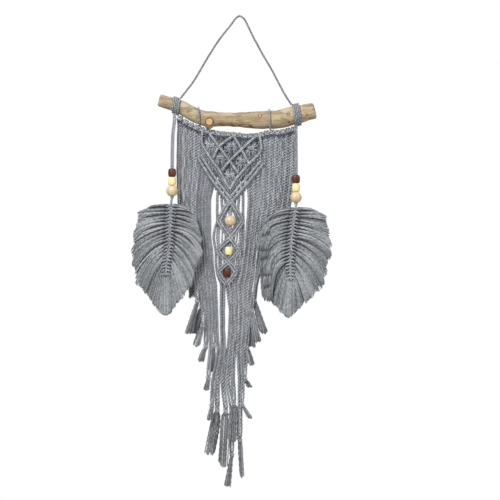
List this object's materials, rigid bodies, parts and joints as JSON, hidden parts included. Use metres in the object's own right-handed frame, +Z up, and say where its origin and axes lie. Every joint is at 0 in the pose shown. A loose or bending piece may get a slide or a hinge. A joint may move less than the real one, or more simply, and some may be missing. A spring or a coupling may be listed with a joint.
{
  "type": "macrame wall hanging on a driftwood branch",
  "caption": "Knotted cord panel with an open net, beaded diamonds and a frayed fringe, hung with two beaded cord feathers from a driftwood branch on a hanger cord",
  "frame": {"origin": "the point where the hanger cord lies over the wall nail", "axes": "+Z up, +X to the right as seen from the room, +Y towards the wall"},
  "size_m": [0.3624, 0.046, 0.8525],
  "materials": {
    "grey_cord": "soft twisted cotton, matt",
    "driftwood": "weathered, matt",
    "dark_wood": "stained and waxed",
    "yellow_wood": "painted and waxed",
    "natural_wood": "smooth, lightly waxed"
  },
  "bodies": {
    "root": {"branch": "driftwood", "hanger_cord": "grey_cord", "binding_left": "grey_cord", "binding_right": "grey_cord", "tie_left": "grey_cord", "tie_right": "grey_cord", "macrame_panel": "grey_cord", "feather_left": "grey_cord", "feather_right": "grey_cord", "bead_left_dark": "dark_wood", "bead_left_yellow": "yellow_wood", "bead_left_natural": "natural_wood", "bead_right_dark": "dark_wood", "bead_right_yellow": "yellow_wood", "bead_right_natural": "natural_wood", "bead_middle_top": "natural_wood", "bead_middle_centre": "yellow_wood", "bead_middle_low": "dark_wood"}
  },
  "joints": []
}
